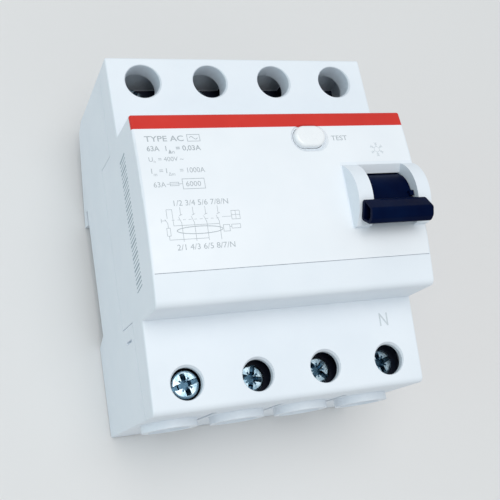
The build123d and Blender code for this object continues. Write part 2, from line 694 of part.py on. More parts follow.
# ---------------------------------------------------------------- trip parts and test circuit
def chassis_plate():
    """Plate that carries the relay, the lever and the test parts."""
    body = block(-32.8, 16.6, -21.8, 21.8, CHASSIS_Z, CHASSIS_Z + CHASSIS_T)
    body = fillet(body.edges().filter_by(Axis.Z), 1.5)
    for x in (-18.0, 9.0):
        post = block(x - 1.2, x + 1.2, LEVER_Y - 2.4, LEVER_Y + 2.4, CHASSIS_Z + 1, LEVER_Z + 2.4)
        body = body + fillet(post.edges().filter_by(Axis.X).sort_by(Axis.Z)[-2:], 1.2)
    body = body - rod_x(1.46, -25, 15, LEVER_Y, LEVER_Z)
    for y in SENSE_Y:
        body = body - rod_z(0.6, CORE_X - 9, y, 28, 33)
    return body


def trip_lever():
    """Shaft with a paddle for the relay plunger and a finger for the latch."""
    body = rod_x(1.4, -26.5, 15.6, LEVER_Y, LEVER_Z)
    body = body + block(-24.4, -19.6, LEVER_Y - 0.8, LEVER_Y + 0.8, PLUNGER_Z - 2.6, LEVER_Z)
    body = body + block(11.6, 15.0, LEVER_Y, LEVER_Y + 6.5, LEVER_Z - 0.8, LEVER_Z + 0.8)
    # two ribs balance the lever about its axis, so that a knock doesn't trip it
    body = body + block(-15.6, -15.6 + BALANCE_UP, LEVER_Y - 0.8, LEVER_Y + 0.8, LEVER_Z, LEVER_Z + 4.0)
    return body + block(-1.4, -1.4 + BALANCE_DOWN, LEVER_Y - 5.0, LEVER_Y, LEVER_Z - 0.8, LEVER_Z + 0.8)


def relay_case():
    """Trip relay housing with a bore for its plunger."""
    x0, x1, y0, y1, z0, z1 = RELAY
    body = block(x0, x1, y0, y1, z0, z1)
    body = fillet(body.edges().filter_by(Axis.Y), 1.0)
    body = body - block(x0 + 1.2, x1 - 1.2, y0 - 1, y1 - 1.4, z0 + 1.2, z1 - 1.2)
    return body - rod_y(1.3, PLUNGER_X, -10, 0, PLUNGER_Z)


def relay_coil():
    """Coil on a flanged bobbin."""
    body = rod_y(4.6, PLUNGER_X, -18.6, -8.4, PLUNGER_Z)
    for y0, y1 in ((-19.4, -18.6), (-8.4, -7.6)):
        body = body + rod_y(5.1, PLUNGER_X, y0, y1, PLUNGER_Z)
    return body - rod_y(1.6, PLUNGER_X, -21, -6, PLUNGER_Z)


def relay_plunger():
    body = rod_y(1.22, PLUNGER_X, -17, 0.8, PLUNGER_Z)
    return body + rod_y(1.7, PLUNGER_X, 0.8, LEVER_Y - 0.8 - 0.25, PLUNGER_Z)


def test_button():
    """Oval domed cap with its stem."""
    top = nose_z(BUTTON_Y)
    cap = stadium(BUTTON_L, BUTTON_H, BUTTON_X, BUTTON_Y, 51.8, top + 0.9)
    cap = fillet(cap.edges().group_by(Axis.Z)[-1], 0.8)
    flange = stadium(BUTTON_L + 1.2, BUTTON_H + 1.2, BUTTON_X, BUTTON_Y, 50.8, 51.8)
    return cap + flange + rod_z(1.2, BUTTON_X, BUTTON_Y, 44.0, 50.8)


def button_spring():
    return coil_z(BUTTON_X, BUTTON_Y, 45.45, 50.75, 1.85, 0.22, 5)


def test_contact():
    """Leaf strip under the button, with its leg on the chassis."""
    z = 44.0 - BUTTON_TRAVEL - 0.1
    leaf = block(4.6, 15.2, BUTTON_Y - 1.4, BUTTON_Y + 1.4, z - 0.3, z)
    leg = block(14.9, 15.2, BUTTON_Y - 1.4, BUTTON_Y + 1.4, CHASSIS_Z + CHASSIS_T, z)
    z = CHASSIS_Z + CHASSIS_T
    foot = block(11.8, 15.2, BUTTON_Y - 1.4, BUTTON_Y + 1.4, z, z + 0.3)
    return leaf + leg + foot


def test_resistor():
    """Wound resistor with its two leads."""
    y = 16.5
    z = CHASSIS_Z + CHASSIS_T + 4
    body = rod_x(2.0, -12, 1, y, z)
    body = fillet(body.edges().filter_by(GeomType.CIRCLE), 0.5)
    for x0, x1 in ((-12, -14.2), (1, 3.2)):
        points = [(x0, y, z), (x1, y, z), (x1, y, CHASSIS_Z + CHASSIS_T)]
        body = body + tube_along(points, 0.35, 0.8)
    return body


# ---------------------------------------------------------------- rail latches and housing screws
def rail_latch(x):
    """Sliding latch with a lip behind the rail's lower edge and a slot for a screwdriver."""
    z0, z1 = LATCH_Z
    lip = RAIL / 2 - 3.4
    body = block(x - LATCH_HALF, x + LATCH_HALF, -HY + 0.4, -lip, z0, z1)
    tip = body.edges().filter_by(Axis.X).group_by(Axis.Y)[-1].sort_by(Axis.Z)[0]
    body = chamfer(tip, 1.4)
    body = body - block(x - 2.3, x + 2.3, -42.3, -40.8, z0 - 1, z1 + 1)
    return body - block(x - 1.9, x + 1.9, -39.0, -24.0, z0 - 1, z1 + 1)


def latch_spring(x):
    """Compression spring in the window of a latch."""
    coil = coil_z(0, 0, 0, 10.8, 0.85, 0.2, 8)
    return Pos(x, -24.1, sum(LATCH_Z) / 2) * Rot(90, 0, 0) * coil


def housing_screws():
    """Four long screws that hold base and cover together from behind."""
    screws = []
    for x, y in HOUSING_POSTS:
        seat = screw_seat(y)
        head = rod_z(2.6, x, y, seat - 1.7, seat)
        body = head + rod_z(1.5, x, y, seat, 37.5)
        recess = Pos(x, y, seat - 1.7) * (Box(3.2, 0.7, 1.8) + Box(0.7, 3.2, 1.8))
        screws.append(body - recess)
    return Compound(children=screws)


# ---------------------------------------------------------------- write every piece
def pieces():
    """Node name to shape, for every piece."""
    out = {
        "rear_base": rear_base(),
        "front_cover": front_cover(),
        "label_plate": label_plate(),
        "red_band": red_band(),
        "toggle": toggle(),
        "toggle_pin": toggle_pin(),
        "toggle_spring": toggle_spring(),
        "link_wire": link_wire(),
        "contact_shaft": contact_shaft(),
        "arc_chutes": arc_chutes(),
        "transformer_case": transformer_case(),
        "transformer_core": transformer_core(),
        "sensing_winding": sensing_winding(),
        "sense_leads": sense_leads(),
        "chassis_plate": chassis_plate(),
        "trip_lever": trip_lever(),
        "relay_case": relay_case(),
        "relay_coil": relay_coil(),
        "relay_plunger": relay_plunger(),
        "test_button": test_button(),
        "button_spring": button_spring(),
        "test_contact": test_contact(),
        "test_resistor": test_resistor(),
        "rail_latch_left": rail_latch(LATCH_X[0]),
        "rail_latch_right": rail_latch(LATCH_X[1]),
        "latch_spring_left": latch_spring(LATCH_X[0]),
        "latch_spring_right": latch_spring(LATCH_X[1]),
        "housing_screws": housing_screws(),
    }
    for i, x in enumerate(POLE_X):
        n = i + 1
        out[f"moving_contact_{n}"] = moving_contact(x)
        out[f"upper_strip_{n}"] = upper_strip(x)
        out[f"lower_strip_{n}"] = lower_strip(x)
        out[f"conductor_{n}"] = conductor(i)
        for name, side in (("upper", 1), ("lower", -1)):
            raised = side < 0 and i == 0
            out[f"{name}_screw_{n}"] = screw(x, side, RAISED_SCREW if raised else 0.0)
            out[f"{name}_cage_{n}"] = cage(x, side, RAISED_CAGE if raised else 0.0)
    return out


def main():
    os.makedirs("parts", exist_ok=True)
    for name, shape in pieces().items():
        export_step(shape, f"parts/{name}.step")


main()
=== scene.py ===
import math

import bmesh
import bpy
from mathutils import Matrix, Vector


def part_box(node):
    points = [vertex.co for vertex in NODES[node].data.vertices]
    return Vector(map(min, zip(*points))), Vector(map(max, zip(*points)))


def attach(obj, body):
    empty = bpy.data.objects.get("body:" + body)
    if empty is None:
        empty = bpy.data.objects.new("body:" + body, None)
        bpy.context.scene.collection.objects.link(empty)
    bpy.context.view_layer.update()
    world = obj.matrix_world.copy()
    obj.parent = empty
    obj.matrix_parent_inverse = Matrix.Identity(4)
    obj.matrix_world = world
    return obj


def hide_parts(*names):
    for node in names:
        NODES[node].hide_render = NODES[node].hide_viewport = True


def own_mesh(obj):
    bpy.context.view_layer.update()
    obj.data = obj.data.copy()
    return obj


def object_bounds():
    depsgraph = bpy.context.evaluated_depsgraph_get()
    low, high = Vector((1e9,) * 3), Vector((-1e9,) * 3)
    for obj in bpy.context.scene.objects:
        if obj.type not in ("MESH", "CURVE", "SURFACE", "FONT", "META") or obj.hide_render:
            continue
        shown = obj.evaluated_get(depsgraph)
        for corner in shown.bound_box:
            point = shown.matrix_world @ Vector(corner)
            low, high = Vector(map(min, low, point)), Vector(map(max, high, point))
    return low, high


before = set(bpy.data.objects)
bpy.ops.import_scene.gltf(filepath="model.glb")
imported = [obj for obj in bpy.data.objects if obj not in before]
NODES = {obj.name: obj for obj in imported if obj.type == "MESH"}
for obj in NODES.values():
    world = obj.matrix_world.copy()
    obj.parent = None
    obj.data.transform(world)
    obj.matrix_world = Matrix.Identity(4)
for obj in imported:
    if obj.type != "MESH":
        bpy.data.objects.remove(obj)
cad_low, cad_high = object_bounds()

MM = 0.001

# sizes that the CAD model states, in millimetres
HALF_X = 35.0
HALF_Y = 44.0
NOSE_HALF = 22.5
NOSE_Z = 53.5
NOSE_RISE = 1.9
NOSE_RADIUS = (NOSE_HALF ** 2 + NOSE_RISE ** 2) / (2 * NOSE_RISE)
SHOULDER_Z = 41.0
SHOULDER_FALL = 1.5
SCREW_LENGTH = 10.25
CHAMBER_X = 33.3
# Region of the painted shade inside the terminal chambers, and the heights over which it fades out in the
# lower and upper wells
CHAMBER_Y = (28.6, 41.8)
CHAMBER_FLOOR_Z = 16.5
LOWER_SHADE_Z = (37.4, 38.2)
UPPER_SHADE_Z = (33.6, 34.6)
# Depths under the screw top, in mm, over which the painted shade of the driving recess fades in
RECESS_Z = (0.9, 0.25)


def nose_z(y):
    """Height of the bulged nose face, in mm."""
    return NOSE_Z + NOSE_RISE - NOSE_RADIUS + math.sqrt(NOSE_RADIUS ** 2 - y ** 2)


def shoulder_z(y):
    """Height of a shoulder face, in mm."""
    return SHOULDER_Z - SHOULDER_FALL * (abs(y) - NOSE_HALF) / (HALF_Y - NOSE_HALF)


# ------------------------------------------------------------------ materials
class Graph:
    """Short way to build a node tree."""

    def __init__(self, name):
        self.mat = bpy.data.materials.new(name)
        self.mat.use_nodes = True
        self.tree = self.mat.node_tree
        self.tree.nodes.clear()
        self.out = self.tree.nodes.new("ShaderNodeOutputMaterial")
        self.bsdf = self.tree.nodes.new("ShaderNodeBsdfPrincipled")
        self.link(self.bsdf.outputs[0], self.out.inputs["Surface"])
        self.coord = self.tree.nodes.new("ShaderNodeTexCoord")

    def link(self, a, b):
        self.tree.links.new(a, b)

    def value(self, name, v):
        self.bsdf.inputs[name].default_value = v

    def mapping(self, source, scale=(1, 1, 1), location=(0, 0, 0)):
        node = self.tree.nodes.new("ShaderNodeMapping")
        node.inputs["Scale"].default_value = scale
        node.inputs["Location"].default_value = location
        self.link(source, node.inputs["Vector"])
        return node.outputs[0]

    def noise(self, vector, scale, detail=2.0, rough=0.5):
        node = self.tree.nodes.new("ShaderNodeTexNoise")
        node.inputs["Scale"].default_value = scale
        node.inputs["Detail"].default_value = detail
        node.inputs["Roughness"].default_value = rough
        self.link(vector, node.inputs["Vector"])
        return node.outputs[0]

    def wave(self, vector, scale, distortion, direction):
        node = self.tree.nodes.new("ShaderNodeTexWave")
        node.wave_type = "BANDS"
        node.bands_direction = direction
        node.inputs["Scale"].default_value = scale
        node.inputs["Distortion"].default_value = distortion
        self.link(vector, node.inputs["Vector"])
        return node.outputs[1]

    def ramp(self, source, low, high, a=0.0, b=1.0):
        """Maps source from a..b to low..high."""
        node = self.tree.nodes.new("ShaderNodeMapRange")
        node.inputs["From Min"].default_value = a
        node.inputs["From Max"].default_value = b
        node.inputs["To Min"].default_value = low
        node.inputs["To Max"].default_value = high
        self.link(source, node.inputs["Value"])
        return node.outputs[0]

    def mix(self, factor, first, second):
        node = self.tree.nodes.new("ShaderNodeMix")
        node.data_type = "RGBA"
        self.link(factor, node.inputs[0])
        node.inputs[6].default_value = (*first, 1.0)
        node.inputs[7].default_value = (*second, 1.0)
        return node.outputs[2]

    def math(self, operation, *values):
        """Math node; each value is a socket or a number."""
        node = self.tree.nodes.new("ShaderNodeMath")
        node.operation = operation
        for i, v in enumerate(values):
            if isinstance(v, (int, float)):
                node.inputs[i].default_value = v
            else:
                self.link(v, node.inputs[i])
        return node.outputs[0]

    def tint(self, factor, base, colour):
        """Turns a colour socket towards a fixed colour."""
        node = self.tree.nodes.new("ShaderNodeMix")
        node.data_type = "RGBA"
        self.link(factor, node.inputs[0])
        self.link(base, node.inputs[6])
        node.inputs[7].default_value = (*colour, 1.0)
        return node.outputs[2]

    def bump(self, source, distance, strength=1.0, after=None):
        node = self.tree.nodes.new("ShaderNodeBump")
        node.inputs["Distance"].default_value = distance
        node.inputs["Strength"].default_value = strength
        self.link(source, node.inputs["Height"])
        if after is not None:
            self.link(after, node.inputs["Normal"])
        return node.outputs[0]


def moulded(name, first, second, rough, grain_mm=0.35, depth_mm=0.012, spread=0.08, blotch_mm=18.0, coat=0.0,
             specular=0.5):
    """Moulded plastic: fine spark-eroded grain, slight cloudiness and uneven gloss."""
    g = Graph(name)
    where = g.coord.outputs["Object"]
    cloud = g.noise(where, 1000.0 / blotch_mm, 3.0, 0.55)
    g.link(g.mix(g.ramp(cloud, 0.0, 1.0, 0.3, 0.7), first, second), g.bsdf.inputs["Base Color"])
    fine = g.noise(where, 1000.0 / grain_mm, 2.0, 0.6)
    patches = g.noise(where, 1000.0 / (grain_mm * 8), 3.0)
    g.link(g.ramp(patches, rough - spread, rough + spread, 0.25, 0.75), g.bsdf.inputs["Roughness"])
    wide = g.bump(g.noise(where, 1000.0 / 9.0, 2.0), 0.00006, 0.25)
    g.link(g.bump(fine, depth_mm * MM, 0.6, wide), g.bsdf.inputs["Normal"])
    g.value("IOR", 1.5)
    g.value("Specular IOR Level", specular)
    if coat:
        g.value("Coat Weight", coat)
        g.value("Coat Roughness", 0.2)
    return g.mat


def well_shade_mask(g, where):
    """Mask of the painted shade: 1 inside the terminal chambers under the wells, 0 on every outer face."""
    axes = g.tree.nodes.new("ShaderNodeSeparateXYZ")
    g.link(where, axes.inputs[0])
    x, y, z = axes.outputs
    reach = g.math("ABSOLUTE", y)
    inside = g.math("LESS_THAN", g.math("ABSOLUTE", x), CHAMBER_X * MM)
    inside = g.math("MULTIPLY", inside, g.math("GREATER_THAN", reach, CHAMBER_Y[0] * MM))
    inside = g.math("MULTIPLY", inside, g.math("LESS_THAN", reach, CHAMBER_Y[1] * MM))
    inside = g.math("MULTIPLY", inside, g.math("GREATER_THAN", z, CHAMBER_FLOOR_Z * MM))
    # The painted shade is full below the lower height and gone above the upper one
    lower = g.ramp(z, 1.0, 0.0, *[v * MM for v in LOWER_SHADE_Z])
    lower = g.math("MULTIPLY", lower, g.math("LESS_THAN", y, 0.0))
    upper = g.ramp(z, 1.0, 0.0, *[v * MM for v in UPPER_SHADE_Z])
    upper = g.math("MULTIPLY", upper, g.math("GREATER_THAN", y, 0.0))
    return g.math("MULTIPLY", inside, g.math("ADD", lower, upper))


def paint_well_shade(material, dark):
    """Painted shade: darkens the colour inside the terminal chambers, seen down the wells."""
    g = Graph.__new__(Graph)
    g.mat, g.tree = material, material.node_tree
    g.bsdf = next(n for n in g.tree.nodes if n.type == "BSDF_PRINCIPLED")
    coord = next(n for n in g.tree.nodes if n.type == "TEX_COORD")
    base = g.bsdf.inputs["Base Color"].links[0].from_socket
    g.link(g.tint(well_shade_mask(g, coord.outputs["Object"]), base, dark), g.bsdf.inputs["Base Color"])
    return material


def metal(name, first, second, rough, grain_mm=0.4, streak=(1, 1, 1), depth_mm=0.004):
    """Plated or bare metal with drawing lines and uneven gloss."""
    g = Graph(name)
    where = g.coord.outputs["Object"]
    cloud = g.noise(where, 1000.0 / 2.5, 4.0, 0.6)
    g.link(g.mix(g.ramp(cloud, 0.0, 1.0, 0.3, 0.7), first, second), g.bsdf.inputs["Base Color"])
    lines = g.noise(g.mapping(where, streak), 1000.0 / grain_mm, 3.0, 0.6)
    g.link(g.ramp(lines, rough - 0.08, rough + 0.12, 0.3, 0.7), g.bsdf.inputs["Roughness"])
    normal = g.bump(lines, depth_mm * MM, 0.5)
    g.link(normal, g.bsdf.inputs["Normal"])
    g.value("Metallic", 1.0)
    return g.mat


def passivated(name, first, second, rough, recess):
    """Zinc plated screw: bluish film of uneven thickness, with painted shade in the driving recess."""
    g = Graph(name)
    where = g.coord.outputs["Object"]
    film = g.noise(where, 1000.0 / 2.6, 2.0, 0.5)
    base = g.mix(g.ramp(film, 0.0, 1.0, 0.35, 0.65), first, second)
    axes = g.tree.nodes.new("ShaderNodeSeparateXYZ")
    g.link(g.coord.outputs["Generated"], axes.inputs[0])
    # Painted shade: the colour turns dark below the top of the screw head, in the driving recess
    recess_shade = g.ramp(axes.outputs[2], 1.0, 0.0, *[1.0 - depth / SCREW_LENGTH for depth in RECESS_Z])
    g.link(g.tint(recess_shade, base, recess), g.bsdf.inputs["Base Color"])
    fine = g.noise(where, 1000.0 / 0.3, 3.0, 0.6)
    g.link(g.ramp(fine, rough - 0.06, rough + 0.10, 0.3, 0.7), g.bsdf.inputs["Roughness"])
    dents = g.bump(g.noise(where, 1000.0 / 1.6, 2.0), 0.07 * MM, 0.7)
    g.link(g.bump(fine, 0.004 * MM, 0.5, dents), g.bsdf.inputs["Normal"])
    g.value("Metallic", 1.0)
    return g.mat


def ink(name, first, second):
    """Thin printed ink with a slightly broken edge and uneven cover."""
    g = Graph(name)
    where = g.coord.outputs["Object"]
    speck = g.noise(where, 1000.0 / 0.4, 3.0, 0.7)
    g.link(g.mix(g.ramp(speck, 0.0, 1.0, 0.35, 0.65), first, second), g.bsdf.inputs["Base Color"])
    g.link(g.ramp(speck, 0.5, 0.65), g.bsdf.inputs["Roughness"])
    return g.mat


def wound(name, first, second, pitch_mm, direction):
    """Enamelled wire laid side by side."""
    g = Graph(name)
    where = g.coord.outputs["Object"]
    turns = g.wave(where, 1000.0 / pitch_mm / 6.2832 * 2, 0.6, direction)
    g.link(g.mix(turns, first, second), g.bsdf.inputs["Base Color"])
    g.link(g.ramp(g.noise(where, 1500.0), 0.22, 0.4), g.bsdf.inputs["Roughness"])
    g.link(g.bump(turns, 0.12 * MM, 0.8), g.bsdf.inputs["Normal"])
    g.value("Metallic", 0.85)
    g.value("Coat Weight", 0.6)
    return g.mat


HOUSING = moulded("housing_plastic", (0.785, 0.835, 0.890), (0.825, 0.870, 0.920), 0.48)
# Painted shade: the housing colour turns dark blue inside the terminal chambers, down the wells
HOUSING = paint_well_shade(HOUSING, (0.010, 0.016, 0.038))
PLATE = moulded("plate_plastic", (0.83, 0.865, 0.905), (0.87, 0.90, 0.935), 0.38, 0.25, 0.006)
RED = moulded("red_plastic", (0.60, 0.018, 0.010), (0.68, 0.026, 0.014), 0.36, 0.3, 0.006)
TOGGLE = moulded("toggle_plastic", (0.0003, 0.0028, 0.022), (0.0008, 0.0058, 0.032), 0.36, 0.3, 0.010, 0.07,
                 6.0, specular=0.03)
BUTTON = moulded("button_plastic", (0.86, 0.88, 0.90), (0.90, 0.915, 0.93), 0.26, 0.3, 0.004, 0.05, 6.0, 0.3)
LATCH = moulded("latch_plastic", (0.30, 0.33, 0.36), (0.36, 0.39, 0.42), 0.5, 0.3, 0.015)
DARK = moulded("dark_nylon", (0.018, 0.018, 0.020), (0.030, 0.030, 0.033), 0.45, 0.3, 0.015)
CHASSIS = moulded("chassis_plastic", (0.58, 0.58, 0.56), (0.64, 0.63, 0.60), 0.55, 0.5, 0.02)
RELAY = moulded("relay_plastic", (0.030, 0.055, 0.14), (0.040, 0.07, 0.17), 0.3, 0.3, 0.006)
CEMENT = moulded("cement_coat", (0.22, 0.28, 0.24), (0.28, 0.33, 0.28), 0.7, 0.2, 0.03, 0.1, 2.0)
# The last colour is the painted shade of the driving recess
ZINC = passivated("zinc_steel", (0.26, 0.40, 0.50), (0.62, 0.76, 0.84), 0.26, (0.055, 0.11, 0.16))
CAGE = metal("cage_steel", (0.52, 0.54, 0.56), (0.62, 0.63, 0.64), 0.34, streak=(1, 1, 0.2))
SPRING = metal("spring_steel", (0.38, 0.38, 0.39), (0.50, 0.50, 0.50), 0.28)
PLAIN = metal("plain_steel", (0.42, 0.42, 0.42), (0.52, 0.52, 0.51), 0.38, streak=(0.15, 1, 1))
COPPER = metal("copper", (0.72, 0.36, 0.22), (0.80, 0.45, 0.30), 0.30, streak=(1, 0.15, 1))
CORE = metal("core_strip", (0.20, 0.20, 0.21), (0.28, 0.28, 0.28), 0.42, streak=(1, 0.1, 1))
ENAMEL = wound("enamelled_copper", (0.30, 0.09, 0.035), (0.55, 0.20, 0.09), 0.5, "Y")
INK = ink("grey_ink", (0.39, 0.43, 0.46), (0.49, 0.53, 0.56))
PALE_INK = ink("pale_ink", (0.53, 0.58, 0.62), (0.62, 0.67, 0.70))
SIDE_INK = ink("side_mark", (0.30, 0.37, 0.43), (0.40, 0.47, 0.52))

LOOKS = {
    "rear_base": HOUSING, "front_cover": HOUSING, "label_plate": PLATE, "red_band": RED, "toggle": TOGGLE,
    "toggle_pin": PLAIN, "toggle_spring": SPRING, "link_wire": PLAIN, "contact_shaft": DARK,
    "arc_chutes": PLAIN, "transformer_case": DARK, "transformer_core": CORE, "sensing_winding": ENAMEL,
    "sense_leads": ENAMEL, "chassis_plate": CHASSIS, "trip_lever": CHASSIS, "relay_case": RELAY,
    "relay_coil": ENAMEL, "relay_plunger": PLAIN, "test_button": BUTTON, "button_spring": SPRING,
    "test_contact": COPPER, "test_resistor": CEMENT, "rail_latch_left": LATCH, "rail_latch_right": LATCH,
    "latch_spring_left": SPRING, "latch_spring_right": SPRING, "housing_screws": ZINC,
}
for n in range(1, 5):
    LOOKS[f"moving_contact_{n}"] = COPPER
    LOOKS[f"upper_strip_{n}"] = COPPER
    LOOKS[f"lower_strip_{n}"] = COPPER
    LOOKS[f"conductor_{n}"] = COPPER
    LOOKS[f"upper_screw_{n}"] = ZINC
    LOOKS[f"lower_screw_{n}"] = ZINC
    LOOKS[f"upper_cage_{n}"] = CAGE
    LOOKS[f"lower_cage_{n}"] = CAGE

for name, obj in NODES.items():
    obj.data.materials.clear()
    obj.data.materials.append(LOOKS[name])


# ------------------------------------------------------------------ printed legend
INK_T = 0.012
STRIP_TOP = 16.0
STRIP_PITCH = 0.98
STRIP_Z = (40.4, 45.4)
STRIP_SLANT = 0.42


def on_nose(u, v, h):
    """Point of the nose face, h above it, all in mm."""
    return Vector((u, v, nose_z(v) + h)) * MM


def on_lower_shoulder(u, v, h):
    return Vector((u, v, shoulder_z(v) + h)) * MM


def on_left(u, v, h):
    """Point of the left side: u is the height Z, v is Y."""
    return Vector((-HALF_X - h, v, u)) * MM


def finish_piece(name, bm, material, body="housing", smooth=False):
    mesh = bpy.data.meshes.new(name)
    bmesh.ops.recalc_face_normals(bm, faces=bm.faces)
    bm.to_mesh(mesh)
    bm.free()
    mesh.materials.append(material)
    for poly in mesh.polygons:
        poly.use_smooth = smooth
    obj = bpy.data.objects.new(name, mesh)
    bpy.context.collection.objects.link(obj)
    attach(obj, body)
    return obj


def add_ribbon(bm, points, width, surface, low=-0.02, high=INK_T, closed=False):
    """Flat mitred line through 2D points, laid on a surface and a little thick."""
    pts = [Vector(p) for p in points]
    count = len(pts)
    rings = []
    for i, here in enumerate(pts):
        before = pts[(i - 1) % count] if closed or i > 0 else None
        after = pts[(i + 1) % count] if closed or i < count - 1 else None
        a = (here - before).normalized() if before is not None else None
        b = (after - here).normalized() if after is not None else None
        along = ((a or b) + (b or a)).normalized()
        across = Vector((-along.y, along.x))
        stretch = 1.0 if a is None or b is None else 1.0 / max(0.35, along.dot(a))
        left = here + across * width / 2 * stretch
        right = here - across * width / 2 * stretch
        corners = ((left, high), (right, high), (right, low), (left, low))
        rings.append([bm.verts.new(surface(q.x, q.y, h)) for q, h in corners])
    pairs = list(zip(rings, rings[1:])) + ([(rings[-1], rings[0])] if closed else [])
    for first, second in pairs:
        for k in range(4):
            bm.faces.new((first[k], first[(k + 1) % 4], second[(k + 1) % 4], second[k]))
    if not closed:
        bm.faces.new(rings[0])
        bm.faces.new(list(reversed(rings[-1])))


def box_points(x0, x1, y0, y1):
    return [(x0, y0), (x1, y0), (x1, y1), (x0, y1)]


def oval_points(x, y, rx, ry, count=40):
    angles = [math.tau * i / count for i in range(count)]
    return [(x + rx * math.cos(a), y + ry * math.sin(a)) for a in angles]


def spaced(a, b, step=1.6):
    """Points from a to b no further apart than step, so that a line follows the bulge."""
    n = max(1, math.ceil(math.dist(a, b) / step))
    return [(a[0] + (b[0] - a[0]) * i / n, a[1] + (b[1] - a[1]) * i / n) for i in range(n + 1)]


def text(name, words, left, base, cap, surface=on_nose, material=None, weight=0.0, width=None,
         body="housing"):
    """Words laid on a surface, capitals cap mm high, with their lower left corner at (left, base)."""
    curve = bpy.data.curves.new(name, "FONT")
    curve.body = words
    curve.size = 10.0
    curve.offset = weight
    curve.resolution_u = 4
    obj = bpy.data.objects.new(name, curve)
    bpy.context.collection.objects.link(obj)
    bpy.context.view_layer.update()
    flat = bpy.data.meshes.new_from_object(obj.evaluated_get(bpy.context.evaluated_depsgraph_get()))
    bpy.data.objects.remove(obj)
    bpy.data.curves.remove(curve)
    scale = cap / 7.29
    wide = max(v.co.x for v in flat.vertices)
    squeeze = 1.0 if width is None else width / (wide * scale)
    bm = bmesh.new()
    bm.from_mesh(flat)
    bpy.data.meshes.remove(flat)
    bmesh.ops.remove_doubles(bm, verts=bm.verts, dist=0.001)
    solid = bmesh.ops.extrude_face_region(bm, geom=bm.faces[:])
    raised = {v for v in solid["geom"] if isinstance(v, bmesh.types.BMVert)}
    for v in bm.verts:
        h = INK_T if v in raised else -0.02
        v.co = surface(left + v.co.x * scale * squeeze, base + v.co.y * scale, h)
    return finish_piece(name, bm, material or INK, body)


def ratings():
    """Generic ratings in the upper left of the front plate."""
    text("legend_type", "TYPE AC", -32.5, 15.5, 1.45, weight=0.12, width=9.2)
    bm = bmesh.new()
    add_ribbon(bm, box_points(-22.4, -19.4, 15.4, 17.1), 0.14, on_nose, closed=True)
    wave = [(-21.9 + 0.2 * i, 16.25 + 0.36 * math.sin(math.tau * i / 10)) for i in range(11)]
    add_ribbon(bm, wave, 0.16, on_nose)
    finish_piece("legend_wave", bm, INK)
    text("legend_current", "63A", -32.4, 13.1, 1.3, weight=0.16, width=3.0)
    text("legend_trip", "I", -28.1, 13.1, 1.3, weight=0.12)
    text("legend_trip_sub", "\u0394n", -27.5, 12.4, 0.9, weight=0.06, width=1.5)
    text("legend_trip_value", "= 0,03A", -25.6, 13.1, 1.3, weight=0.16, width=6.0)
    text("legend_voltage", "U", -32.4, 10.5, 1.15)
    text("legend_voltage_sub", "n", -31.3, 10.2, 0.75)
    text("legend_voltage_value", "= 400V ~", -30.2, 10.5, 1.15, width=6.0)
    text("legend_making", "I", -32.3, 7.6, 1.3)
    text("legend_making_sub", "m", -31.8, 7.0, 0.85)
    text("legend_making_equal", "= I", -30.4, 7.6, 1.3)
    text("legend_making_sub_b", "\u0394m", -28.3, 7.0, 0.8)
    text("legend_making_value", "= 1000A", -25.6, 7.6, 1.3, width=6.0)
    text("legend_fuse", "63A", -32.2, 4.3, 1.3, width=2.9)
    text("legend_short", "6000", -24.7, 4.3, 1.25, width=3.6)
    bm = bmesh.new()
    add_ribbon(bm, box_points(-25.4, -20.2, 3.7, 6.1), 0.13, on_nose, closed=True)
    add_ribbon(bm, [(-29.1, 4.95), (-25.4, 4.95)], 0.12, on_nose)
    add_ribbon(bm, box_points(-28.3, -26.3, 4.55, 5.35), 0.12, on_nose, closed=True)
    finish_piece("legend_boxes", bm, INK)


def wiring_diagram():
    """Circuit of such a device: contacts, sum transformer, trip coil and test circuit."""
    text("legend_poles_top", "1/2 3/4 5/6 7/8/N", -28.6, -0.2, 1.35, width=13.2)
    text("legend_poles_low", "2/1 4/3 6/5 8/7/N", -28.8, -10.3, 1.35, width=13.6)
    bm = bmesh.new()
    w = 0.11
    for x in (-27.0, -24.05, -21.15, -18.2):
        add_ribbon(bm, spaced((x, -0.55), (x, -2.35)), w, on_nose)
        add_ribbon(bm, [(x - 0.38, -2.5), (x + 0.38, -2.2)], w, on_nose)
        add_ribbon(bm, [(x - 0.55, -2.75), (x, -4.2), (x, -5.6), (x, -7.2), (x, -8.4)], w, on_nose)
    for i in range(9):
        x = -29.2 + 1.3 * i
        add_ribbon(bm, [(x, -3.45), (x + 0.65, -3.45)], 0.09, on_nose)
    add_ribbon(bm, [(-28.9, -4.75), (-18.2, -4.75)], w, on_nose)
    add_ribbon(bm, oval_points(-22.95, -5.95, 5.35, 0.85), 0.17, on_nose, closed=True)
    add_ribbon(bm, box_points(-17.4, -15.9, -6.6, -5.1), w, on_nose, closed=True)
    add_ribbon(bm, [(-15.9, -5.6), (-15.4, -5.6)], w, on_nose)
    add_ribbon(bm, box_points(-15.4, -13.3, -6.0, -5.1), w, on_nose, closed=True)
    add_ribbon(bm, box_points(-15.1, -13.1, -3.9, -1.9), w, on_nose, closed=True)
    add_ribbon(bm, [(-14.1, -3.9), (-14.1, -1.9)], 0.1, on_nose)
    add_ribbon(bm, [(-15.1, -2.9), (-13.1, -2.9)], 0.1, on_nose)
    add_ribbon(bm, [(-17.4, -3.2), (-15.1, -3.2)], 0.09, on_nose)
    add_ribbon(bm, [(-28.9, -4.75), (-28.9, -1.0), (-30.2, -1.0), (-30.2, -3.1)], w, on_nose)
    add_ribbon(bm, [(-30.75, -3.2), (-30.2, -4.1), (-30.2, -5.2)], w, on_nose)
    add_ribbon(bm, [(-31.6, -3.0), (-31.6, -4.0)], w, on_nose)
    add_ribbon(bm, [(-31.6, -3.5), (-30.6, -3.5)], w, on_nose)
    add_ribbon(bm, box_points(-30.6, -29.8, -7.0, -5.2), w, on_nose, closed=True)
    add_ribbon(bm, [(-30.2, -7.0), (-30.2, -7.9), (-21.15, -7.9)], w, on_nose)
    finish_piece("legend_diagram", bm, INK)


